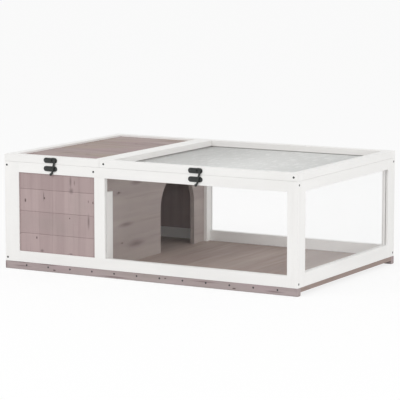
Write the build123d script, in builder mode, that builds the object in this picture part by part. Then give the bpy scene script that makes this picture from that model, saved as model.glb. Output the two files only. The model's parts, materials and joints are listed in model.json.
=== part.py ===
from build123d import *
from math import asin, atan2, cos, degrees, hypot, radians, sin
import os

# Tortoise house: a boarded hide on the left and a glazed run on the right, on two runners.
# Millimetres, +Z up, front towards -Y. The origin is the middle of the footprint, on the ground.

# Overall timber case, without the latches and hinges that stand out of it
case_w = 914.0
case_d = 603.0

# Base
runner_h = 22.0
runner_t = 18.0
runner_round = 3.0
floor_t = 12.0
floor_board_w = 71.4
floor_edge_board_w = 34.5
floor_edge_board_min = 18.0
runner_screw_drop = 8.5

# Upright frames: one thickness of stock, with members of several widths
frame_t = 15.0
frame_h = 279.5
left_post_w = 46.8
hide_window_w = 246.7
middle_post_w = 33.0
right_post_w = 16.0
stile_w = 43.5
top_rail_h = 28.5
bottom_rail_h = 30.5
side_bottom_rail_h = 36.0
edge_round = 0.5

# Boarded panels and clear panes, held in grooves round each window
groove_d = 6.0
groove_slack = 0.15
edge_slack = 0.8
board_t = 9.0
board_pitch = 62.0
board_gap = 0.3
board_chamfer = 0.8
board_min = 10.0
tongue_t = 3.0
tongue_d = 3.0
panel_setback = 3.0
lowest_board_h = 57.5
pane_t = 2.0

# Divider between hide and run, with an arched doorway towards the rear
divider_t = 12.5
batten_t = 10.0
front_batten_w = 27.5
rear_batten_w = 20.0
batten_h = 211.5
divider_rail_w = 26.0
divider_rail_h = 26.0
door_w = 193.0
door_side = 302.0
door_spring_h = 124.0

# Lids: two frames that meet over the middle post
lid_seat_gap = 0.25
lid_gap = 0.8
lid_t = 20.0
lid_rail_w = 26.0
lid_round = 0.8
roof_recess = 5.7
roof_t = 9.0
mesh_t = 1.2
mesh_lap = 8.0
mesh_slack = 0.4
mesh_cell = 32.4
mesh_wire = 2.0

# Wood screws and dowels
screw_head_r = 3.0
screw_head_h = 2.4
screw_shank_r = 1.8
frame_screw_len = 35.0
frame_screw_edge = 10.0
runner_screw_len = 34.0
runner_screw_head_r = 2.6
runner_screw_head_h = 1.8
runner_screw_shank_r = 1.5
small_screw_len = 12.0
small_screw_head_r = 2.7
small_screw_head_h = 1.4
small_screw_shank_r = 1.4
cross_w = 0.8
cross_share = 0.6
cross_d = 0.9
dowel_r = 3.0
dowel_len = 24.0
dowel_edge = 17.5
base_screw_bays = (1, 5, 9)
base_screw_shares = (0.3, 0.7)

# Rear hinges
knuckle_r = 3.0
knuckle_gap = 0.4
knuckle_count = 5
hinge_w = 40.0
hinge_inset = 62.0
leaf_t = 1.2
fixed_leaf_h = 24.0
lid_leaf_h = 17.5
pin_r = 1.25
pin_clearance = 0.06
leaf_screw_inset = 9.0
leaf_screw_rise = 12.0

# Front latches: a turning hook on the case catches a headed peg on the lid
latch_offset = -2.0
latch_pitch = 23.0
plate_l = 43.0
plate_h = 14.3
plate_t = 1.6
plate_screw_inset = 5.5
pivot_offset = 9.0
pivot_r = 2.0
pivot_clearance = 0.08
rivet_head_r = 4.0
peg_offset = 2.5
peg_r = 2.0
peg_head_r = 2.6
peg_play = 1.3
head_t = 1.2
head_gap = 0.3
hook_gap = 0.4
hook_t = 2.5
hook_boss_r = 5.0
hook_neck_w = 5.0
hook_arm_w = 4.0
hook_release = 18.0
hook_tip_cover = 3.0
tail_bend = (-1.2, -8.2)
tail_end = (-6.5, -15.5)
tail_w = 4.8
tail_knob_r = 3.6

# Places that several pieces share
hinge_out = knuckle_gap + 2 * knuckle_r
latch_out = plate_t + hook_gap + hook_t + head_gap + head_t
left_x = -case_w / 2
right_x = case_w / 2
front_y = (latch_out - case_d - hinge_out) / 2
rear_y = front_y + case_d
frame_z = runner_h
frame_top_z = frame_z + frame_h
lid_z = frame_top_z + lid_seat_gap
lid_top_z = lid_z + lid_t
window_low_z = frame_z + bottom_rail_h
window_top_z = frame_top_z - top_rail_h
side_window_low_z = frame_z + side_bottom_rail_h
hide_window_x0 = left_x + left_post_w
hide_window_x1 = hide_window_x0 + hide_window_w
run_window_x0 = hide_window_x1 + middle_post_w
run_window_x1 = right_x - frame_t - right_post_w
side_window_y0 = front_y + stile_w
side_window_y1 = rear_y - stile_w
middle_x = (hide_window_x1 + run_window_x0) / 2
divider_x1 = run_window_x0 - batten_t
divider_x0 = divider_x1 - divider_t
inner_y0 = front_y + frame_t
inner_y1 = rear_y - frame_t
front_mid_y = front_y + frame_t / 2
rear_mid_y = rear_y - frame_t / 2
hide_lid_x0 = left_x
hide_lid_x1 = middle_x - lid_gap / 2
mesh_lid_x0 = middle_x + lid_gap / 2
mesh_lid_x1 = right_x
hinge_y = rear_y + knuckle_gap + knuckle_r
hinge_z = frame_top_z + lid_seat_gap / 2

pieces = {}


# Shared shapes
def timber(piece, x0, x1, y0, y1, z0, z1, ease=edge_round):
    """One planed timber between two corners, with its long edges eased."""
    spans = {Axis.X: x1 - x0, Axis.Y: y1 - y0, Axis.Z: z1 - z0}
    with Locations(((x0 + x1) / 2, (y0 + y1) / 2, (z0 + z1) / 2)):
        Box(x1 - x0, y1 - y0, z1 - z0)
    fillet(piece.edges().filter_by(max(spans, key=spans.get)), radius=ease)


def block(x0, x1, y0, y1, z0, z1):
    """A plain box between two corners."""
    with Locations(((x0 + x1) / 2, (y0 + y1) / 2, (z0 + z1) / 2)):
        Box(x1 - x0, y1 - y0, z1 - z0)


def screw_shape(head_r, head_h, shank_r, length):
    """A countersunk screw along -Z with its head's top at the origin."""
    top = (Align.CENTER, Align.CENTER, Align.MAX)
    Cylinder(radius=shank_r, height=length, align=top)
    Cone(bottom_radius=shank_r, top_radius=head_r, height=head_h, align=top)


def cross_recess(head_r):
    """The driver's cross in a screw head."""
    with BuildSketch(Plane.XY) as cross:
        Rectangle(2 * cross_share * head_r, cross_w)
        Rectangle(cross_w, 2 * cross_share * head_r)
    extrude(cross.sketch, amount=-cross_d, mode=Mode.SUBTRACT)


def facing(x, y, z, direction):
    """A place whose local +Z looks along the direction given."""
    return Plane(origin=(x, y, z), z_dir=direction).location


def board_row(plane, length, spans):
    """Tongued boards side by side along the plane's y axis, each with its show face towards x."""
    first, last = spans[0][0], spans[-1][1]
    for low, high in spans:
        with BuildSketch(plane) as section:
            with Locations((0, (low + high) / 2)):
                Rectangle(board_t, high - low - board_gap)
            chamfer(section.vertices().group_by(Axis.X)[-1], length=board_chamfer)
            if high < last:
                with Locations((0, high)):
                    Rectangle(tongue_t - board_gap, 2 * (tongue_d - board_gap))
            if low > first:
                with Locations((0, low)):
                    Rectangle(tongue_t, 2 * tongue_d + board_gap, mode=Mode.SUBTRACT)
        extrude(section.sketch, amount=length)


def board_spans(low, high, first_h, pitch, least=board_min):
    """Cut a panel's width into boards: a first one, then whole ones, then what is left."""
    edges = [low]
    line = low + first_h
    while line < high - least:
        edges.append(line)
        line += pitch
    edges.append(high)
    return list(zip(edges, edges[1:]))


def keep(name, piece):
    """Label a finished sub-part and keep it for export."""
    piece.part.label = name
    pieces[name] = piece


# Screw blanks: the plain form cuts the hole, the one with a cross is the screw
screw_kinds = {
    "frame": (screw_head_r, screw_head_h, screw_shank_r, frame_screw_len),
    "runner": (runner_screw_head_r, runner_screw_head_h, runner_screw_shank_r, runner_screw_len),
    "small": (small_screw_head_r, small_screw_head_h, small_screw_shank_r, small_screw_len),
}
screw_blanks = {}
screw_bodies = {}
for kind, sizes in screw_kinds.items():
    with BuildPart() as screw_blank:
        screw_shape(*sizes)
    screw_blanks[kind] = screw_blank.part
    with BuildPart() as screw_body:
        screw_shape(*sizes)
        cross_recess(sizes[0])
    screw_bodies[kind] = screw_body.part


def screw_holes(kind, places):
    """The holes that a set of screws makes in what they pass through."""
    with BuildPart() as holes:
        with Locations(*places):
            add(screw_blanks[kind])
    return holes.part


def screw_set(name, kind, places):
    """A group of identical screws."""
    with BuildPart() as screws:
        with Locations(*places):
            add(screw_bodies[kind])
    keep(name, screws)


# Where every screw goes
front_way = (0, -1, 0)
rear_way = (0, 1, 0)
right_way = (1, 0, 0)
down_way = (0, 0, -1)
floor_x0 = left_x + floor_edge_board_w
floor_board_count = int((right_x - floor_edge_board_min - floor_x0) / floor_board_w)
floor_screw_xs = [floor_x0 + (i + 0.5) * floor_board_w for i in range(floor_board_count)]
runner_screw_z = runner_h - runner_screw_drop
runner_places = [facing(x, front_y, runner_screw_z, front_way) for x in floor_screw_xs]
runner_places += [facing(x, rear_y, runner_screw_z, rear_way) for x in floor_screw_xs]

corner_screw_zs = (frame_z + frame_screw_edge, frame_top_z - frame_screw_edge)
divider_rail_x = divider_x0 - divider_rail_w / 2
divider_rail_z = frame_top_z - divider_rail_h / 2
frame_places = []
for z in corner_screw_zs:
    frame_places.append(facing(left_x + frame_t / 2, front_y, z, front_way))
    frame_places.append(facing(left_x + frame_t / 2, rear_y, z, rear_way))
    frame_places.append(facing(right_x, front_mid_y, z, right_way))
    frame_places.append(facing(right_x, rear_mid_y, z, right_way))
frame_places.append(facing(divider_rail_x, front_y, divider_rail_z, front_way))
frame_places.append(facing(divider_rail_x, rear_y, divider_rail_z, rear_way))
for y in (front_mid_y, rear_mid_y):
    for bay in base_screw_bays:
        frame_places.append(facing(floor_x0 + (bay + 1) * floor_board_w, y, 0, down_way))
for x in (left_x + frame_t / 2, right_x - frame_t / 2):
    for share in base_screw_shares:
        frame_places.append(facing(x, front_y + share * case_d, frame_z - floor_t, down_way))

lid_mid_z = lid_z + lid_t / 2
mesh_lid_frame_places = []
for x in (mesh_lid_x0 + lid_rail_w / 2, mesh_lid_x1 - lid_rail_w / 2):
    mesh_lid_frame_places.append(facing(x, front_y, lid_mid_z, front_way))
    mesh_lid_frame_places.append(facing(x, rear_y, lid_mid_z, rear_way))

hide_hinge_xs = (hide_lid_x0 + hinge_inset, hide_lid_x1 - hinge_inset)
mesh_hinge_xs = (mesh_lid_x0 + hinge_inset, mesh_lid_x1 - hinge_inset)
hide_latch_x = (hide_lid_x0 + hide_lid_x1) / 2 + latch_offset
mesh_latch_x = (mesh_lid_x0 + mesh_lid_x1) / 2 + latch_offset
upper_plate_z = lid_mid_z
lower_plate_z = upper_plate_z - latch_pitch
plate_screw_reach = plate_l / 2 - plate_screw_inset


def leaf_screw_places(hinge_xs, side):
    """Two screws in each hinge leaf; side is +1 for the lid's leaf and -1 for the case's."""
    z = hinge_z + side * leaf_screw_rise
    half = hinge_w / 2 - leaf_screw_inset
    return [facing(x + dx, rear_y + leaf_t, z, rear_way) for x in hinge_xs for dx in (-half, half)]


def plate_screw_places(latch_x, z):
    """One screw near each end of a latch plate."""
    y = front_y - plate_t
    return [facing(latch_x + dx, y, z, front_way) for dx in (-plate_screw_reach, plate_screw_reach)]


case_small_places = leaf_screw_places(hide_hinge_xs + mesh_hinge_xs, -1)
case_small_places += plate_screw_places(hide_latch_x, lower_plate_z)
case_small_places += plate_screw_places(mesh_latch_x, lower_plate_z)
hide_small_places = leaf_screw_places(hide_hinge_xs, 1) + plate_screw_places(hide_latch_x, upper_plate_z)
mesh_small_places = leaf_screw_places(mesh_hinge_xs, 1) + plate_screw_places(mesh_latch_x, upper_plate_z)

screw_set("frame_screws", "frame", frame_places)
screw_set("runner_screws", "runner", runner_places)
screw_set("hardware_screws", "small", case_small_places)
screw_set("hide_lid_screws", "small", hide_small_places)
screw_set("mesh_lid_screws", "small", mesh_small_places)
screw_set("mesh_lid_frame_screws", "frame", mesh_lid_frame_places)
frame_holes = screw_holes("frame", frame_places)
runner_holes = screw_holes("runner", runner_places)
case_small_holes = screw_holes("small", case_small_places)
hide_small_holes = screw_holes("small", hide_small_places)
mesh_small_holes = screw_holes("small", mesh_small_places)
mesh_lid_frame_holes = screw_holes("frame", mesh_lid_frame_places)

# Dowels hidden in the joints of the four upright frames
dowel_zs = (frame_z + dowel_edge, frame_top_z - dowel_edge)
dowel_places = []
for y in (front_mid_y, rear_mid_y):
    for z in dowel_zs:
        dowel_places.append(facing(hide_window_x0, y, z, right_way))
        dowel_places.append(facing(run_window_x1, y, z, right_way))
    dowel_places.append(facing(middle_x, y, window_low_z, down_way))
    dowel_places.append(facing(middle_x, y, window_top_z, down_way))
for x in (left_x + frame_t / 2, right_x - frame_t / 2):
    for z in dowel_zs:
        dowel_places.append(facing(x, side_window_y0, z, rear_way))
        dowel_places.append(facing(x, side_window_y1, z, rear_way))
with BuildPart() as frame_dowels:
    with Locations(*dowel_places):
        Cylinder(radius=dowel_r, height=dowel_len)
keep("frame_dowels", frame_dowels)

# Grooves for the boarded panels and the clear panes
panel_y0 = front_y + panel_setback
panel_y1 = panel_y0 + board_t
rear_panel_y1 = rear_y - panel_setback
left_panel_x0 = left_x + panel_setback
pane_half = pane_t / 2
with BuildPart() as grooves:
    for y0, y1 in ((panel_y0, panel_y1), (rear_panel_y1 - board_t, rear_panel_y1)):
        block(hide_window_x0 - groove_d, hide_window_x1 + groove_d,
              y0 - groove_slack, y1 + groove_slack, window_low_z - groove_d, window_top_z + groove_d)
    for y in (front_mid_y, rear_mid_y):
        block(run_window_x0 - groove_d, run_window_x1 + groove_d,
              y - pane_half - groove_slack, y + pane_half + groove_slack,
              window_low_z - groove_d, window_top_z + groove_d)
    block(left_panel_x0 - groove_slack, left_panel_x0 + board_t + groove_slack,
          side_window_y0 - groove_d, side_window_y1 + groove_d,
          side_window_low_z - groove_d, window_top_z + groove_d)
    block(right_x - frame_t / 2 - pane_half - groove_slack, right_x - frame_t / 2 + pane_half + groove_slack,
          side_window_y0 - groove_d, side_window_y1 + groove_d,
          side_window_low_z - groove_d, window_top_z + groove_d)

# Upright frames
frame_members = {}
for side, y0, y1 in (("front", front_y, inner_y0), ("rear", inner_y1, rear_y)):
    frame_members[side + "_left_post"] = (left_x, hide_window_x0, y0, y1, frame_z, frame_top_z)
    frame_members[side + "_middle_post"] = (hide_window_x1, run_window_x0, y0, y1, window_low_z, window_top_z)
    frame_members[side + "_right_post"] = (run_window_x1, right_x - frame_t, y0, y1, frame_z, frame_top_z)
    frame_members[side + "_top_rail"] = (hide_window_x0, run_window_x1, y0, y1, window_top_z, frame_top_z)
    frame_members[side + "_bottom_rail"] = (hide_window_x0, run_window_x1, y0, y1, frame_z, window_low_z)
for side, x0, x1, y0, y1 in (("left", left_x, left_x + frame_t, inner_y0, inner_y1),
                             ("right", right_x - frame_t, right_x, front_y, rear_y)):
    rail_y0, rail_y1 = side_window_y0, side_window_y1
    frame_members[side + "_front_stile"] = (x0, x1, y0, rail_y0, frame_z, frame_top_z)
    frame_members[side + "_rear_stile"] = (x0, x1, rail_y1, y1, frame_z, frame_top_z)
    frame_members[side + "_top_rail"] = (x0, x1, rail_y0, rail_y1, window_top_z, frame_top_z)
    frame_members[side + "_bottom_rail"] = (x0, x1, rail_y0, rail_y1, frame_z, side_window_low_z)
for name, corners in frame_members.items():
    with BuildPart() as member:
        timber(member, *corners)
        add(grooves.part, mode=Mode.SUBTRACT)
        add(frame_dowels.part, mode=Mode.SUBTRACT)
        add(frame_holes, mode=Mode.SUBTRACT)
        add(case_small_holes, mode=Mode.SUBTRACT)
    keep(name, member)

# Boarded panels of the hide: three walls of tongued boards in the frames' grooves
panel_low_z = window_low_z - groove_d + edge_slack
side_panel_low_z = side_window_low_z - groove_d + edge_slack
panel_top_z = window_top_z + groove_d - edge_slack
panel_x0 = hide_window_x0 - groove_d + edge_slack
panel_x1 = hide_window_x1 + groove_d - edge_slack
side_panel_y0 = side_window_y0 - groove_d + edge_slack
side_panel_y1 = side_window_y1 + groove_d - edge_slack
first_line_z = window_low_z - groove_d + lowest_board_h


def wall_spans(low_z):
    """Board edges up a wall; all the walls' lines stand at one height."""
    return board_spans(low_z, panel_top_z, first_line_z - low_z, board_pitch)


with BuildPart() as hide_front_boards:
    board_row(Plane(origin=(panel_x1, (panel_y0 + panel_y1) / 2, 0), x_dir=(0, -1, 0), z_dir=(-1, 0, 0)),
              panel_x1 - panel_x0, wall_spans(panel_low_z))
keep("hide_front_boards", hide_front_boards)

with BuildPart() as hide_rear_boards:
    board_row(Plane(origin=(panel_x0, rear_panel_y1 - board_t / 2, 0), x_dir=(0, 1, 0), z_dir=(1, 0, 0)),
              panel_x1 - panel_x0, wall_spans(panel_low_z))
keep("hide_rear_boards", hide_rear_boards)

left_board_x = left_panel_x0 + board_t / 2
with BuildPart() as hide_left_boards:
    board_row(Plane(origin=(left_board_x, side_panel_y0, 0), x_dir=(-1, 0, 0), z_dir=(0, 1, 0)),
              side_panel_y1 - side_panel_y0, wall_spans(side_panel_low_z))
keep("hide_left_boards", hide_left_boards)

# Clear panes of the run
pane_x0 = run_window_x0 - groove_d + edge_slack
pane_x1 = run_window_x1 + groove_d - edge_slack
for name, y in (("front_pane", front_mid_y), ("rear_pane", rear_mid_y)):
    with BuildPart() as pane:
        block(pane_x0, pane_x1, y - pane_half, y + pane_half, panel_low_z, panel_top_z)
    keep(name, pane)
with BuildPart() as right_pane:
    block(right_x - frame_t / 2 - pane_half, right_x - frame_t / 2 + pane_half,
          side_panel_y0, side_panel_y1, side_panel_low_z, panel_top_z)
keep("right_pane", right_pane)

# Runners under the front and rear frames
for name, y0, y1 in (("front_runner", front_y, front_y + runner_t),
                     ("rear_runner", rear_y - runner_t, rear_y)):
    with BuildPart() as runner:
        timber(runner, left_x, right_x, y0, y1, 0, runner_h, ease=runner_round)
        add(runner_holes, mode=Mode.SUBTRACT)
        add(frame_holes, mode=Mode.SUBTRACT)
    keep(name, runner)

# Floor boards from runner to runner, with a ripped board at each end
floor_y0 = front_y + runner_t
floor_y1 = rear_y - runner_t
floor_edges = [left_x] + [floor_x0 + i * floor_board_w for i in range(floor_board_count + 1)] + [right_x]
with BuildPart() as floor_boards:
    for x0, x1 in zip(floor_edges, floor_edges[1:]):
        low = x0 if x0 == left_x else x0 + board_gap / 2
        high = x1 if x1 == right_x else x1 - board_gap / 2
        block(low, high, floor_y0, floor_y1, frame_z - floor_t, frame_z)
    add(runner_holes, mode=Mode.SUBTRACT)
    add(frame_holes, mode=Mode.SUBTRACT)
keep("floor_boards", floor_boards)

# Divider panel with its arched doorway, two battens and the cross rail under the lids' joint
door_y = inner_y0 + door_side + door_w / 2
door_r = door_w / 2
with BuildPart() as divider_panel:
    block(divider_x0, divider_x1, inner_y0, inner_y1, frame_z, frame_top_z)
    with BuildSketch(Plane.YZ.offset(divider_x1)):
        with Locations((door_y, frame_z + door_spring_h / 2)):
            Rectangle(door_w, door_spring_h)
        with Locations((door_y, frame_z + door_spring_h)):
            Circle(door_r)
    extrude(amount=-divider_t, mode=Mode.SUBTRACT)
keep("divider_panel", divider_panel)

for name, y0, y1 in (("divider_front_batten", inner_y0, inner_y0 + front_batten_w),
                     ("divider_rear_batten", inner_y1 - rear_batten_w, inner_y1)):
    with BuildPart() as batten:
        timber(batten, divider_x1, run_window_x0, y0, y1, frame_z, frame_z + batten_h)
    keep(name, batten)

with BuildPart() as divider_top_rail:
    timber(divider_top_rail, divider_x0 - divider_rail_w, divider_x0, inner_y0, inner_y1,
           frame_top_z - divider_rail_h, frame_top_z)
    add(frame_holes, mode=Mode.SUBTRACT)
keep("divider_top_rail", divider_top_rail)

# Lid frames: grooved for the roof boards, rebated underneath for the mesh
roof_z1 = lid_top_z - roof_recess
roof_z0 = roof_z1 - roof_t
lid_inner_y0 = front_y + lid_rail_w
lid_inner_y1 = rear_y - lid_rail_w
hide_inner_x0 = hide_lid_x0 + lid_rail_w
hide_inner_x1 = hide_lid_x1 - lid_rail_w
mesh_inner_x0 = mesh_lid_x0 + lid_rail_w
mesh_inner_x1 = mesh_lid_x1 - lid_rail_w
with BuildPart() as roof_groove:
    block(hide_inner_x0 - groove_d, hide_inner_x1 + groove_d,
          lid_inner_y0 - groove_d, lid_inner_y1 + groove_d,
          roof_z0 - groove_slack, roof_z1 + groove_slack)
with BuildPart() as mesh_rebate:
    block(mesh_inner_x0 - mesh_lap, mesh_inner_x1 + mesh_lap,
          lid_inner_y0 - mesh_lap, lid_inner_y1 + mesh_lap,
          lid_z, lid_z + mesh_t + mesh_slack)


def lid_frame(prefix, x0, x1, cutters):
    """Front and rear rails the whole width of a lid, with side rails between them."""
    rails = {
        "front_rail": (x0, x1, front_y, lid_inner_y0),
        "rear_rail": (x0, x1, lid_inner_y1, rear_y),
        "left_rail": (x0, x0 + lid_rail_w, lid_inner_y0, lid_inner_y1),
        "right_rail": (x1 - lid_rail_w, x1, lid_inner_y0, lid_inner_y1),
    }
    for name, corners in rails.items():
        with BuildPart() as rail:
            timber(rail, *corners, lid_z, lid_top_z, ease=lid_round)
            for cutter in cutters:
                add(cutter, mode=Mode.SUBTRACT)
        keep(prefix + "_" + name, rail)


lid_frame("hide_lid", hide_lid_x0, hide_lid_x1, (roof_groove.part, hide_small_holes))
lid_frame("mesh_lid", mesh_lid_x0, mesh_lid_x1, (mesh_rebate.part, mesh_small_holes, mesh_lid_frame_holes))

# Roof boards of the hide lid, laid left to right
roof_y0 = lid_inner_y0 - groove_d + edge_slack
roof_y1 = lid_inner_y1 + groove_d - edge_slack
roof_x0 = hide_inner_x0 - groove_d + edge_slack
roof_x1 = hide_inner_x1 + groove_d - edge_slack
with BuildPart() as hide_roof_boards:
    board_row(Plane(origin=(roof_x1, 0, (roof_z0 + roof_z1) / 2), x_dir=(0, 0, 1), z_dir=(-1, 0, 0)),
              roof_x1 - roof_x0, board_spans(roof_y0, roof_y1, board_pitch, board_pitch))
keep("hide_roof_boards", hide_roof_boards)

# Wire mesh under the mesh lid
mesh_w = mesh_inner_x1 - mesh_inner_x0
mesh_d = lid_inner_y1 - lid_inner_y0
mesh_columns = int(mesh_w / mesh_cell + 0.5)
mesh_rows = int(mesh_d / mesh_cell + 0.5)
mesh_border = 2 * (mesh_lap - mesh_slack)
mesh_step_x = mesh_w / mesh_columns
mesh_step_y = mesh_d / mesh_rows
with BuildPart() as wire_mesh:
    with BuildSketch(Plane.XY.offset(lid_z + mesh_slack / 2)):
        with Locations(((mesh_inner_x0 + mesh_inner_x1) / 2, (lid_inner_y0 + lid_inner_y1) / 2)):
            Rectangle(mesh_w + mesh_border, mesh_d + mesh_border)
            with GridLocations(mesh_step_x, mesh_step_y, mesh_columns, mesh_rows):
                Rectangle(mesh_step_x - mesh_wire, mesh_step_y - mesh_wire, mode=Mode.SUBTRACT)
    extrude(amount=mesh_t)
keep("wire_mesh", wire_mesh)

# Rear hinges
knuckle_step = hinge_w / knuckle_count
knuckle_len = knuckle_step - knuckle_gap
root_h = knuckle_r + knuckle_gap


def hinge_leaf(x, side, first, leaf_h):
    """A leaf above (+1) or below (-1) the hinge line, with every second knuckle from the first."""
    plate_low, plate_high = sorted((hinge_z + side * root_h, hinge_z + side * leaf_h))
    block(x - hinge_w / 2, x + hinge_w / 2, rear_y, rear_y + leaf_t, plate_low, plate_high)
    root_low, root_high = sorted((hinge_z, hinge_z + side * root_h))
    for number in range(first, knuckle_count, 2):
        centre = x - hinge_w / 2 + (number + 0.5) * knuckle_step
        low, high = centre - knuckle_len / 2, centre + knuckle_len / 2
        block(low, high, rear_y, rear_y + leaf_t, root_low, root_high)
        with Locations((centre, hinge_y, hinge_z)):
            Cylinder(radius=knuckle_r, height=knuckle_len, rotation=(0, 90, 0))


def hinge_bores(hinge_xs, radius):
    """The pin holes through a leaf's knuckles."""
    with Locations(*[(x, hinge_y, hinge_z) for x in hinge_xs]):
        Cylinder(radius=radius, height=hinge_w, rotation=(0, 90, 0), mode=Mode.SUBTRACT)


with BuildPart() as hinge_fixed_leaves:
    for x in hide_hinge_xs + mesh_hinge_xs:
        hinge_leaf(x, -1, 0, fixed_leaf_h)
    hinge_bores(hide_hinge_xs + mesh_hinge_xs, pin_r)
    add(case_small_holes, mode=Mode.SUBTRACT)
keep("hinge_fixed_leaves", hinge_fixed_leaves)

for name, hinge_xs, holes in (("hide_lid_hinge_leaves", hide_hinge_xs, hide_small_holes),
                              ("mesh_lid_hinge_leaves", mesh_hinge_xs, mesh_small_holes)):
    with BuildPart() as lid_leaves:
        for x in hinge_xs:
            hinge_leaf(x, 1, 1, lid_leaf_h)
        hinge_bores(hinge_xs, pin_r + pin_clearance)
        add(holes, mode=Mode.SUBTRACT)
    keep(name, lid_leaves)

with BuildPart() as hinge_pins:
    with Locations(*[(x, hinge_y, hinge_z) for x in hide_hinge_xs + mesh_hinge_xs]):
        Cylinder(radius=pin_r, height=hinge_w, rotation=(0, 90, 0))
keep("hinge_pins", hinge_pins)

# Front latches. Angles are measured clockwise from straight up, as seen from the front.
peg_x = peg_offset - pivot_offset
peg_reach = hypot(peg_x, latch_pitch)
peg_angle = degrees(atan2(peg_x, latch_pitch))
neck_side = peg_r + peg_play + hook_neck_w / 2
neck_angle = peg_angle + hook_release + degrees(asin(neck_side / peg_reach))
arm_r = peg_reach + peg_r + peg_play + hook_arm_w / 2
tip_angle = peg_angle + hook_release - hook_tip_cover
hook_y = front_y - plate_t - hook_gap
stud_len = hook_gap + hook_t + head_gap


def up_clock(radius, angle):
    """A point in the latch's face, from the pivot, at an angle clockwise from straight up."""
    return (radius * sin(radians(angle)), radius * cos(radians(angle)))


def latch_face(latch_x, y):
    """A plane in front of the case, looking out, with its origin at the hook's pivot."""
    return Plane(origin=(latch_x + pivot_offset, y, lower_plate_z), x_dir=(1, 0, 0), z_dir=front_way)


def oblong_plate(latch_x, z):
    """A round-ended plate flat on the timber."""
    with BuildSketch(Plane(origin=(latch_x, front_y, z), x_dir=(1, 0, 0), z_dir=front_way)) as outline:
        SlotOverall(plate_l, plate_h)
    extrude(outline.sketch, amount=plate_t)


def headed_stud(latch_x, centre, shank_r, head_r, start_y, length):
    """A round stud standing out of a plate, with a flat head."""
    with BuildSketch(latch_face(latch_x, start_y)) as shank:
        with Locations(centre):
            Circle(shank_r)
    extrude(shank.sketch, amount=length)
    with BuildSketch(latch_face(latch_x, start_y - length)) as head:
        with Locations(centre):
            Circle(head_r)
    extrude(head.sketch, amount=head_t)


for prefix, latch_x, holes in (("hide", hide_latch_x, hide_small_holes),
                               ("mesh", mesh_latch_x, mesh_small_holes)):
    with BuildPart() as latch_plate:
        oblong_plate(latch_x, lower_plate_z)
        with BuildSketch(latch_face(latch_x, front_y)):
            Circle(pivot_r)
        extrude(amount=plate_t, mode=Mode.SUBTRACT)
        add(case_small_holes, mode=Mode.SUBTRACT)
    keep(prefix + "_latch_plate", latch_plate)

    with BuildPart() as keeper:
        oblong_plate(latch_x, upper_plate_z)
        headed_stud(latch_x, (peg_x, latch_pitch), peg_r, peg_head_r, front_y - plate_t, stud_len)
        add(holes, mode=Mode.SUBTRACT)
    keep(prefix + "_lid_keeper", keeper)

    with BuildPart() as hook:
        with BuildSketch(latch_face(latch_x, hook_y)):
            with BuildLine():
                Line((0, 0), up_clock(arm_r, neck_angle))
            trace(line_width=hook_neck_w)
            with BuildLine():
                CenterArc((0, 0), arm_r, 90 - neck_angle, neck_angle - tip_angle)
            trace(line_width=hook_arm_w)
            with BuildLine():
                ThreePointArc((0, 0), tail_bend, tail_end)
            trace(line_width=tail_w)
            with Locations(up_clock(arm_r, neck_angle)):
                Circle(hook_neck_w / 2)
            with Locations(up_clock(arm_r, tip_angle)):
                Circle(hook_arm_w / 2)
            with Locations(tail_end):
                Circle(tail_knob_r)
            Circle(hook_boss_r)
            Circle(pivot_r + pivot_clearance, mode=Mode.SUBTRACT)
        extrude(amount=hook_t)
    keep(prefix + "_latch_hook", hook)

# Rivets that the hooks turn on
with BuildPart() as latch_pivots:
    for latch_x in (hide_latch_x, mesh_latch_x):
        headed_stud(latch_x, (0, 0), pivot_r, rivet_head_r, front_y, plate_t + stud_len)
keep("latch_pivots", latch_pivots)

os.makedirs("parts", exist_ok=True)
for name, piece in pieces.items():
    export_step(piece.part, f"parts/{name}.step")
print(len(pieces), "nodes")
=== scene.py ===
import json
import math

import bmesh
import bpy
from mathutils import Matrix, Vector


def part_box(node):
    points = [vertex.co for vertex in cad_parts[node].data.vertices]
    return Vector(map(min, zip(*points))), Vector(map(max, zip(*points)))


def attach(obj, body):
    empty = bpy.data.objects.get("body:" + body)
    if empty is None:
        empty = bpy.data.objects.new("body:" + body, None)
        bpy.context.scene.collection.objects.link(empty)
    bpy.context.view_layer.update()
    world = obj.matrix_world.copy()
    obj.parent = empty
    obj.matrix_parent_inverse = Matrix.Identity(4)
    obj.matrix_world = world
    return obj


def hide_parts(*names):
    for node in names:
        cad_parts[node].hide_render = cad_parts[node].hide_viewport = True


# Looks of a tortoise house: a boarded hide and a glazed run with two hinged lids. Metres throughout.
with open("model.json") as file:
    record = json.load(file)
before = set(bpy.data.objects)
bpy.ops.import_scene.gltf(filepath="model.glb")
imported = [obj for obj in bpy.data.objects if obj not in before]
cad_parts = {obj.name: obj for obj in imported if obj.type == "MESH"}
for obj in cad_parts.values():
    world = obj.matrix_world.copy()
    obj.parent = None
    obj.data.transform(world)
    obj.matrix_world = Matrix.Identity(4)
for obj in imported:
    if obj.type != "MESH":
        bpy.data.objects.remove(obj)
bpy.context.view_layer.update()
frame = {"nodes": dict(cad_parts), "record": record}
nodes = frame["nodes"]


# Materials
def paint(red, green, blue):
    """A colour on the 0 to 255 scale, as the shader's linear colour."""
    linear = []
    for value in (red, green, blue):
        share = value / 255
        linear.append(share / 12.92 if share <= 0.04045 else ((share + 0.055) / 1.055) ** 2.4)
    return (*linear, 1.0)


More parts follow.
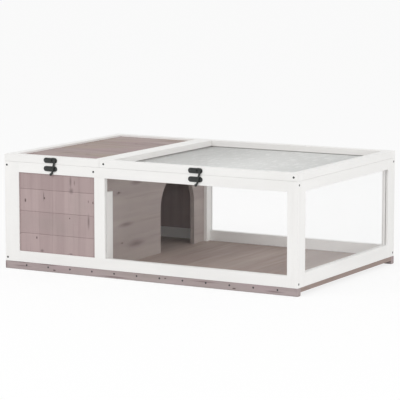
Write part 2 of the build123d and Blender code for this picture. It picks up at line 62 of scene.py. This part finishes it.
class Finish:
    """One Principled material, with short calls for the nodes that feed it."""

    def __init__(self, name, **sockets):
        self.material = bpy.data.materials.new(name)
        self.material.use_nodes = True
        self.tree = self.material.node_tree
        self.surface = self.tree.nodes["Principled BSDF"]
        self.place = self.node("TexCoord").outputs["Object"]
        for socket, value in sockets.items():
            self.surface.inputs[socket.replace("_", " ")].default_value = value

    def node(self, kind, inputs=None, **settings):
        made = self.tree.nodes.new("ShaderNode" + kind)
        for name, value in settings.items():
            setattr(made, name, value)
        for key, value in (inputs or {}).items():
            if isinstance(value, bpy.types.NodeSocket):
                self.tree.links.new(value, made.inputs[key])
            else:
                made.inputs[key].default_value = value
        return made

    def scaled(self, scale, shift=(0, 0, 0)):
        """Object coordinates times a scale for each axis."""
        return self.node("Mapping", {"Vector": self.place, "Scale": scale, "Location": shift}).outputs[0]

    def noise(self, vector, detail=3.0, roughness=0.5, distortion=0.0):
        inputs = {"Vector": vector, "Scale": 1.0, "Detail": detail,
                  "Roughness": roughness, "Distortion": distortion}
        return self.node("TexNoise", inputs).outputs[0]

    def spread(self, value, low, high, to_low=0.0, to_high=1.0):
        """A smooth step from one range of values to another."""
        inputs = {"Value": value, "From Min": low, "From Max": high, "To Min": to_low, "To Max": to_high}
        return self.node("MapRange", inputs, interpolation_type="SMOOTHSTEP").outputs[0]

    def coordinate(self, axis):
        """The object coordinate along one axis."""
        return self.node("SeparateXYZ", {0: self.place}).outputs["xyz".index(axis)]

    def maths(self, operation, first, second=0.0):
        return self.node("Math", {0: first, 1: second}, operation=operation).outputs[0]

    def mix(self, factor, first, second):
        return self.node("Mix", {0: factor, 6: first, 7: second}, data_type="RGBA").outputs[2]

    def set(self, socket, value):
        self.tree.links.new(value, self.surface.inputs[socket])

    def bump(self, height, distance, strength=1.0):
        inputs = {"Height": height, "Distance": distance, "Strength": strength}
        self.set("Normal", self.node("Bump", inputs).outputs[0])


def along(axis, grain, across):
    """A scale for each axis: one along the grain, another across it."""
    return tuple(grain if name == axis else across for name in "xyz")


def white_wood(axis, name="white_wood", opening=None):
    """Satin white paint that the grain only just shows through. An opening is (low, high) of the hole that
    mesh fills, and a line of painted shade, standing for the shadow gap where the mesh meets the rails, lies
    on the faces round it, just above the mesh."""
    finish = Finish(name + "_" + axis, Roughness=0.5)
    finish.surface.inputs["Specular IOR Level"].default_value = 0.35
    broad = finish.noise(finish.scaled(along(axis, 3, 26)), detail=3)
    fine = finish.noise(finish.scaled(along(axis, 16, 620)), detail=4, roughness=0.65, distortion=0.3)
    cloud = finish.noise(finish.scaled((9, 9, 9)), detail=2)
    tone = finish.mix(finish.spread(broad, 0.3, 0.7), paint(243, 242, 240), paint(248, 247, 245))
    lines = finish.maths("MULTIPLY", finish.spread(fine, 0.55, 0.8), 0.16)
    tone = finish.mix(lines, tone, paint(226, 224, 220))
    tone = finish.mix(finish.spread(cloud, 0.52, 0.8, 0, 0.25), tone, paint(238, 237, 233))
    if opening:
        low, high = opening
        away = []
        for i, side in enumerate("xy"):
            middle = finish.maths("SUBTRACT", finish.coordinate(side), (low[i] + high[i]) / 2)
            away.append(finish.maths("SUBTRACT", finish.maths("ABSOLUTE", middle), (high[i] - low[i]) / 2))
        # Painted shade: a dark grey line on the faces round the opening, just above the mesh, where the gap
        # between rail and mesh lies in shadow
        inside = finish.spread(finish.maths("MAXIMUM", *away), 0.0012, 0.0004)
        near = finish.spread(finish.coordinate("z"), high.z + 0.0030, high.z + 0.0014, 0, 0.85)
        tone = finish.mix(finish.maths("MULTIPLY", inside, near), tone, paint(112, 110, 108))
    finish.set("Base Color", tone)
    finish.set("Roughness", finish.spread(fine, 0.3, 0.75, 0.42, 0.6))
    finish.bump(finish.maths("ADD", fine, finish.maths("MULTIPLY", broad, 2.0)), 0.0001, 0.5)
    return finish.material


def stained_wood(name, axis, colours, knots=(), stains_and_shadow=(), board=None, shade_window=None, tints=()):
    """Matte taupe stain on softwood. Knots and stains_and_shadow are (x, y, z, width, length), with the
    length along the grain; some of the stains are painted contact shadow. Board is the axis across the
    boards, where the first joint is, how wide a board is and how far one differs. The shade_window is the
    opening whose edges get painted shade from the frame round it, as (axis, low, high, reach) for each pair
    of sides. Tints are colours that show through in broad patches."""
    light, middle, dark = colours
    finish = Finish(name, Roughness=0.72)
    finish.surface.inputs["Specular IOR Level"].default_value = 0.22
    bands = finish.noise(finish.scaled(along(axis, 1.3, 24), (3, 5, 7)), detail=3, roughness=0.55)
    streaks = finish.noise(finish.scaled(along(axis, 3.5, 110)), detail=4, roughness=0.6, distortion=0.4)
    lines = finish.noise(finish.scaled(along(axis, 14, 700)), detail=3, roughness=0.7)
    cloud = finish.noise(finish.scaled((11, 11, 11)), detail=3)
    tone = finish.mix(finish.spread(bands, 0.34, 0.68), middle, light)
    tone = finish.mix(finish.spread(streaks, 0.5, 0.8, 0, 0.42), tone, dark)
    tone = finish.mix(finish.spread(lines, 0.48, 0.75, 0, 0.2), tone, dark)
    tone = finish.mix(finish.spread(cloud, 0.5, 0.8, 0, 0.3), tone, paint(160, 152, 146))
    for i, tint in enumerate(tints):
        patch = finish.noise(finish.scaled(along(axis, 4, 11), (2 + 6 * i, 9 - 4 * i, 1 + 3 * i)), detail=2)
        tone = finish.mix(finish.spread(patch, 0.46, 0.66, 0, 0.6), tone, tint)
    if board:
        across, first, pitch, differ = board
        past = finish.maths("SUBTRACT", finish.coordinate(across), first)
        count = finish.maths("FLOOR", finish.maths("DIVIDE", past, pitch))
        chance = finish.node("TexWhiteNoise", {"W": count}, noise_dimensions="1D").outputs[0]
        tone = finish.mix(finish.spread(chance, 0, 1, 0, differ), tone, dark)
    height = lines
    # Stains, for the runner also painted shadow lines, and knots, each a patch of its own colour
    for spots, colour, core in ((stains_and_shadow, paint(128, 113, 113), 0.0), (knots, paint(84, 70, 68), 0.45)):
        for x, y, z, width, length in spots:
            scale = along(axis, 2 / length, 2 / width)
            centre = tuple(place * factor for place, factor in zip((x, y, z), scale))
            inputs = {0: finish.scaled(scale), 1: centre}
            away = finish.node("VectorMath", inputs, operation="DISTANCE").outputs[1]
            rag = finish.maths("MULTIPLY", finish.maths("SUBTRACT", streaks, 0.5), 0.9)
            share = finish.spread(finish.maths("ADD", away, rag), 1.0, core, 0, 0.85)
            tone = finish.mix(share, tone, colour)
            if spots is knots:
                height = finish.maths("SUBTRACT", height, share)
    # Painted shade: the boards darken towards the edges of the opening, where the frame round it shades them
    for across, low, high, reach in shade_window or ():
        side = finish.coordinate(across)
        for edge in (low, high):
            near = finish.maths("ABSOLUTE", finish.maths("SUBTRACT", side, edge))
            tone = finish.mix(finish.spread(near, reach, 0.0, 0, 0.5), tone, dark)
    finish.set("Base Color", tone)
    finish.set("Roughness", finish.spread(streaks, 0.3, 0.8, 0.62, 0.85))
    finish.bump(height, 0.00025, 0.6)
    return finish.material


def metal(name, colour, worn, metallic, rough, grain, spangle_and_glint=0.0):
    """Plated or coated metal with fine mottling, and where there is any, broader pale patches that are partly
    zinc spangle and partly painted glint.
    """
    finish = Finish(name, Metallic=metallic)
    cloud = finish.noise(finish.scaled((grain,) * 3), detail=4, roughness=0.6)
    tone = finish.mix(finish.spread(cloud, 0.4, 0.75), colour, worn)
    if spangle_and_glint:
        # Pale patches: partly zinc spangle, partly painted glint standing for light catching the wires
        patch = finish.noise(finish.scaled((70, 25, 70)), detail=2, roughness=0.6)
        tone = finish.mix(finish.spread(patch, 0.5, 0.68, 0, spangle_and_glint), tone, paint(250, 251, 250))
    finish.set("Base Color", tone)
    finish.set("Roughness", finish.spread(cloud, 0.3, 0.75, rough - 0.08, rough + 0.12))
    finish.bump(cloud, 0.00005, 0.4)
    return finish.material


def acrylic():
    """A clear pane that only shows at a low angle, with faint wiping marks."""
    finish = Finish("clear_acrylic", IOR=1.49)
    smears = finish.noise(finish.scaled((9, 9, 30)), detail=4, roughness=0.6, distortion=0.8)
    finish.set("Base Color", finish.mix(smears, paint(250, 252, 252), paint(254, 255, 255)))
    finish.set("Roughness", finish.spread(smears, 0.35, 0.7, 0.03, 0.09))
    facing = finish.node("LayerWeight", {"Blend": 0.25}).outputs["Fresnel"]
    marks = finish.spread(smears, 0.3, 0.8, 0.003, 0.012)
    finish.set("Alpha", finish.maths("ADD", finish.maths("MULTIPLY", facing, 0.17), marks))
    return finish.material


# Marks on the stained boards, on the face of each panel that shows
front_face = -0.2987
front_knots = [
    (-0.3908, front_face, 0.1955, 0.006, 0.012), (-0.3273, front_face, 0.2054, 0.005, 0.007),
    (-0.3538, front_face, 0.0932, 0.006, 0.010), (-0.1694, front_face, 0.2029, 0.005, 0.009),
    (-0.2450, front_face, 0.1548, 0.004, 0.006),
]
front_stains = [
    (-0.2418, front_face, 0.2560, 0.011, 0.050), (-0.2400, front_face, 0.2310, 0.020, 0.026),
    (-0.2290, front_face, 0.2540, 0.006, 0.022), (-0.3372, front_face, 0.0579, 0.018, 0.012),
    (-0.2421, front_face, 0.0556, 0.020, 0.008), (-0.1840, front_face, 0.2052, 0.006, 0.012),
    (-0.1840, front_face, 0.1500, 0.010, 0.060), (-0.3300, front_face, 0.2100, 0.005, 0.034),
]
divider_face = -0.1405
divider_stains = [
    (divider_face, -0.172, 0.1300, 0.020, 0.120), (divider_face, -0.2117, 0.2214, 0.012, 0.040),
    (divider_face, -0.1155, 0.2408, 0.018, 0.090), (divider_face, -0.1200, 0.0700, 0.030, 0.140),
]
divider_knots = [(divider_face, -0.2117, 0.2230, 0.005, 0.010), (divider_face, -0.1950, 0.0800, 0.006, 0.012)]
roof_face = 0.3163
roof_stains = [
    (-0.2766, -0.156, roof_face, 0.020, 0.034), (-0.2377, 0.2350, roof_face, 0.012, 0.130),
    (-0.2576, 0.1183, roof_face, 0.012, 0.070), (-0.2700, 0.1703, roof_face, 0.012, 0.090),
    (-0.2150, 0.1500, roof_face, 0.012, 0.100), (-0.3900, 0.2700, roof_face, 0.012, 0.080),
    (-0.3435, -0.1500, roof_face, 0.016, 0.120),
]
roof_knots = [(-0.4000, 0.0300, roof_face, 0.008, 0.014), (-0.2900, 0.1300, roof_face, 0.007, 0.012)]
left_face = -0.4540
left_knots = [
    (left_face, 0.1700, 0.0900, 0.008, 0.013), (left_face, -0.1200, 0.2100, 0.007, 0.011),
    (left_face, 0.0400, 0.1500, 0.005, 0.008), (left_face, -0.2000, 0.0800, 0.009, 0.012),
]
rear_face = 0.2983
rear_knots = [
    (-0.2300, rear_face, 0.0900, 0.007, 0.012), (-0.3600, rear_face, 0.1900, 0.007, 0.010),
    (-0.2900, rear_face, 0.2400, 0.005, 0.008),
]
runner_face = -0.3017
runner_knots = [
    (-0.2950, runner_face, 0.0070, 0.005, 0.012), (0.0600, runner_face, 0.0150, 0.004, 0.010),
    (0.2700, runner_face, 0.0060, 0.005, 0.014),
]
# Runner stains and painted shadow: the three marks along the top edge near z 0.021 stand for the shadow under
# the white bottom rail
runner_stains_and_shadow = [
    (-0.4000, runner_face, 0.0110, 0.006, 0.090), (-0.1000, runner_face, 0.0050, 0.005, 0.120),
    (-0.4100, runner_face, 0.0215, 0.006, 0.110), (-0.3150, runner_face, 0.0205, 0.008, 0.090),
    (-0.2100, runner_face, 0.0218, 0.004, 0.140), (-0.4560, runner_face, 0.0110, 0.030, 0.012),
    (0.1800, runner_face, 0.0160, 0.005, 0.110), (0.3900, runner_face, 0.0080, 0.007, 0.080),
]

# Light, middle and dark colours of each stain
wall_colours = (paint(186, 167, 166), paint(175, 156, 155), paint(148, 129, 129))
roof_colours = (paint(178, 162, 160), paint(164, 147, 144), paint(138, 122, 121))
divider_colours = (paint(181, 170, 165), paint(171, 159, 156), paint(144, 131, 128))
base_colours = (paint(182, 168, 168), paint(164, 151, 150), paint(134, 120, 120))
floor_colours = (paint(176, 160, 152), paint(160, 143, 136), paint(130, 113, 108))
bare_colours = (paint(222, 196, 156), paint(208, 178, 134), paint(176, 142, 100))

white = {axis: white_wood(axis) for axis in "xyz"}
board_w = 0.062
wall_boards = ("z", 0.104, board_w, 0.22)
roof_boards = ("y", -0.2809, board_w, 0.12)
floor_boards = ("x", -0.4225, 0.0714, 0.22)
# Openings whose edges get painted shade from the frame: a wide band by the posts, a thin one by the rails
front_shade_window = (("x", -0.4102, -0.1635, 0.009), ("z", 0.0525, 0.273, 0.004))
left_shade_window = (("y", -0.2582, 0.2578, 0.009), ("z", 0.058, 0.273, 0.004))
stained = {
    "hide_front_boards": stained_wood(
        "stained_front", "z", wall_colours, front_knots, front_stains, wall_boards, front_shade_window),
    "hide_left_boards": stained_wood(
        "stained_left", "z", wall_colours, left_knots, (), wall_boards, left_shade_window),
    "hide_rear_boards": stained_wood(
        "stained_rear", "z", wall_colours, rear_knots, (), wall_boards, front_shade_window),
    "hide_roof_boards": stained_wood(
        "stained_roof", "x", roof_colours, roof_knots, roof_stains, roof_boards,
        tints=(paint(172, 148, 150), paint(164, 150, 136))),
    "divider_panel": stained_wood("stained_divider", "y", divider_colours, divider_knots, divider_stains),
    "front_runner": stained_wood(
        "stained_runner", "x", base_colours, runner_knots, runner_stains_and_shadow,
        tints=(paint(176, 156, 160), paint(160, 152, 146))),
    "floor_boards": stained_wood("stained_floor", "y", floor_colours, board=floor_boards),
    "frame_dowels": stained_wood("dowel_wood", "y", bare_colours),
}
stained["rear_runner"] = stained["front_runner"]
finishes = {
    "clear_acrylic": acrylic(),
    "zinc_wire": metal("zinc_wire", paint(230, 232, 230), paint(242, 243, 242), 0.1, 0.45, 900, 0.6),
    "zinc_plate": metal("zinc_plate", paint(186, 187, 184), paint(206, 206, 200), 0.85, 0.36, 260),
    "black_metal": metal("black_metal", paint(30, 33, 31), paint(46, 50, 47), 0.0, 0.38, 700),
    "dark_screw": metal("dark_screw", paint(62, 63, 64), paint(92, 93, 94), 0.6, 0.4, 1500),
}


def long_axis(name):
    """The axis that a timber is longest along."""
    low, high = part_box(name)
    size = high - low
    return "xyz"[max(range(3), key=lambda i: size[i])]


# The mesh reaches past the opening of its lid by the lap, into the rebate
mesh_low, mesh_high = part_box("wire_mesh")
mesh_lap = 0.0076
reach = Vector((mesh_lap, mesh_lap, 0))
opening = (mesh_low + reach, mesh_high - reach)
# Rails round the mesh: white paint with a painted shade line just above the mesh
rail_white = {axis: white_wood(axis, "white_wood_shade_by_mesh", opening) for axis in "xy"}
mesh_rails = {"mesh_lid_%s_rail" % side: rail_white[axis]
              for side, axis in (("front", "x"), ("rear", "x"), ("left", "y"), ("right", "y"))}

# Every node's finish
slots = {part["node"]: part["material_slot"] for part in frame["record"]["subparts"]}
for name, piece in nodes.items():
    if name in stained:
        material = stained[name]
    elif name in mesh_rails:
        material = mesh_rails[name]
    elif slots[name] == "white_wood":
        material = white[long_axis(name)]
    else:
        material = finishes[slots[name]]
    piece.data.materials.clear()
    piece.data.materials.append(material)


# Pieces built here
def add_piece(name, mesh, material, body, smooth=False):
    """Link a finished mesh as a piece that rides on a body."""
    for face in mesh.faces:
        face.smooth = smooth
    data = bpy.data.meshes.new(name)
    mesh.to_mesh(data)
    mesh.free()
    data.materials.append(material)
    piece = bpy.data.objects.new(name, data)
    bpy.context.scene.collection.objects.link(piece)
    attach(piece, body)
    return piece


def wire(mesh, start, end, radius, sides=6):
    """One straight round wire between two points."""
    start, end = Vector(start), Vector(end)
    turn = (end - start).to_track_quat("Z", "Y").to_matrix().to_4x4()
    place = Matrix.Translation((start + end) / 2) @ turn
    bmesh.ops.create_cone(mesh, cap_ends=True, segments=sides, radius1=radius, radius2=radius,
                          depth=(end - start).length, matrix=place)


# Welded mesh in place of the wide-gapped sheet: wires front to back, with wires left to right sunk into them
wire_r = (mesh_high.z - mesh_low.z) / 3
mesh_pitch = 0.00635
mesh_w = mesh_high.x - mesh_low.x
mesh_d = mesh_high.y - mesh_low.y
across_count = round(mesh_w / mesh_pitch)
down_count = round(mesh_d / mesh_pitch)
lower_z = mesh_low.z + wire_r
upper_z = mesh_high.z - wire_r
net = bmesh.new()
for i in range(across_count + 1):
    x = mesh_low.x + wire_r + i * (mesh_w - 2 * wire_r) / across_count
    wire(net, (x, mesh_low.y, lower_z), (x, mesh_high.y, lower_z), wire_r)
for i in range(down_count + 1):
    y = mesh_low.y + wire_r + i * (mesh_d - 2 * wire_r) / down_count
    wire(net, (mesh_low.x, y, upper_z), (mesh_high.x, y, upper_z), wire_r)
net_piece = add_piece("welded_mesh", net, finishes["zinc_wire"], "mesh_lid", smooth=True)
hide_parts("wire_mesh")

# Staples that hold the mesh up into its rebate
staple_count = 7
staple_r = 0.0002
staple_half = 0.005
staple_inset = 0.004
staple_z = mesh_low.z - staple_r / 4
inner_low, inner_high = opening
staples = bmesh.new()
for i in range(staple_count):
    share = (i + 0.5) / staple_count
    x = inner_low.x + share * (inner_high.x - inner_low.x)
    y = inner_low.y + share * (inner_high.y - inner_low.y)
    for end in (inner_low.y - staple_inset, inner_high.y + staple_inset):
        wire(staples, (x - staple_half, end, staple_z), (x + staple_half, end, staple_z), staple_r)
    for end in (inner_low.x - staple_inset, inner_high.x + staple_inset):
        wire(staples, (end, y - staple_half, staple_z), (end, y + staple_half, staple_z), staple_r)
add_piece("mesh_staples", staples, finishes["zinc_plate"], "mesh_lid", smooth=True)


# Floor, light and camera
def backdrop_ray(tree):
    """A socket that is 1 for the rays that should meet a white backdrop, and 0 for the rest."""
    path = tree.nodes.new("ShaderNodeLightPath")
    seen = path.outputs["Is Camera Ray"]
    for other in ("Is Glossy Ray", "Is Transmission Ray"):
        larger = tree.nodes.new("ShaderNodeMath")
        larger.operation = "MAXIMUM"
        tree.links.new(seen, larger.inputs[0])
        tree.links.new(path.outputs[other], larger.inputs[1])
        seen = larger.outputs[0]
    return seen


def camera_white(name, shade, glow):
    """A pale stage surface that shows near white to the camera and keeps soft shadows."""
    material = bpy.data.materials.new(name)
    material.use_nodes = True
    tree = material.node_tree
    tree.nodes.clear()
    diffuse = tree.nodes.new("ShaderNodeBsdfDiffuse")
    emission = tree.nodes.new("ShaderNodeEmission")
    seen = backdrop_ray(tree)
    tone = tree.nodes.new("ShaderNodeMapRange")
    tone.inputs["To Min"].default_value = shade
    tree.links.new(seen, tone.inputs["Value"])
    tree.links.new(tone.outputs[0], diffuse.inputs["Color"])
    share = tree.nodes.new("ShaderNodeMath")
    share.operation = "MULTIPLY"
    share.inputs[1].default_value = glow
    tree.links.new(seen, share.inputs[0])
    both = tree.nodes.new("ShaderNodeMixShader")
    tree.links.new(share.outputs[0], both.inputs[0])
    tree.links.new(diffuse.outputs[0], both.inputs[1])
    tree.links.new(emission.outputs[0], both.inputs[2])
    output = tree.nodes.new("ShaderNodeOutputMaterial")
    tree.links.new(both.outputs[0], output.inputs["Surface"])
    return material


ground = bmesh.new()
bmesh.ops.create_grid(ground, x_segments=1, y_segments=1, size=30)
ground_mesh = bpy.data.meshes.new("studio_floor")
ground.to_mesh(ground_mesh)
ground.free()
ground_mesh.materials.append(camera_white("studio_white", 0.8, 0.8))
studio_floor = bpy.data.objects.new("studio_floor", ground_mesh)
bpy.context.scene.collection.objects.link(studio_floor)

world = bpy.data.worlds.new("studio")
bpy.context.scene.world = world
world.use_nodes = True
sky = world.node_tree
background = sky.nodes["Background"]
light_level = 0.755
seen_level = 1.0
level = sky.nodes.new("ShaderNodeMapRange")
level.inputs["To Min"].default_value = light_level
level.inputs["To Max"].default_value = seen_level
sky.links.new(backdrop_ray(sky), level.inputs["Value"])
sky.links.new(level.outputs[0], background.inputs["Strength"])
background.inputs["Color"].default_value = (1, 1, 1, 1)


def softbox(name, place, target, size, power):
    """A square area lamp that looks at a point."""
    lamp = bpy.data.lights.new(name, "AREA")
    lamp.size = size
    lamp.energy = power
    made = bpy.data.objects.new(name, lamp)
    bpy.context.scene.collection.objects.link(made)
    made.location = place
    made.rotation_euler = (Vector(target) - Vector(place)).to_track_quat("-Z", "Y").to_euler()


house_middle = (0, 0, 0.15)
softbox("key", (-1.6, -3.4, 2.6), house_middle, 2.2, 43)
softbox("fill", (3.7, -1.1, 1.0), house_middle, 1.6, 28)

camera_down = 7.93
camera_round = 29.44
camera = bpy.data.objects.new("camera", bpy.data.cameras.new("camera"))
bpy.context.scene.collection.objects.link(camera)
camera.data.lens = 193.0
camera.data.sensor_width = 36.0
camera.data.clip_end = 100
camera.location = (2.9264, -5.1908, 1.0165)
camera.rotation_euler = (math.radians(90 - camera_down), 0, math.radians(camera_round))
bpy.context.scene.camera = camera
bpy.context.scene.view_settings.view_transform = "Standard"
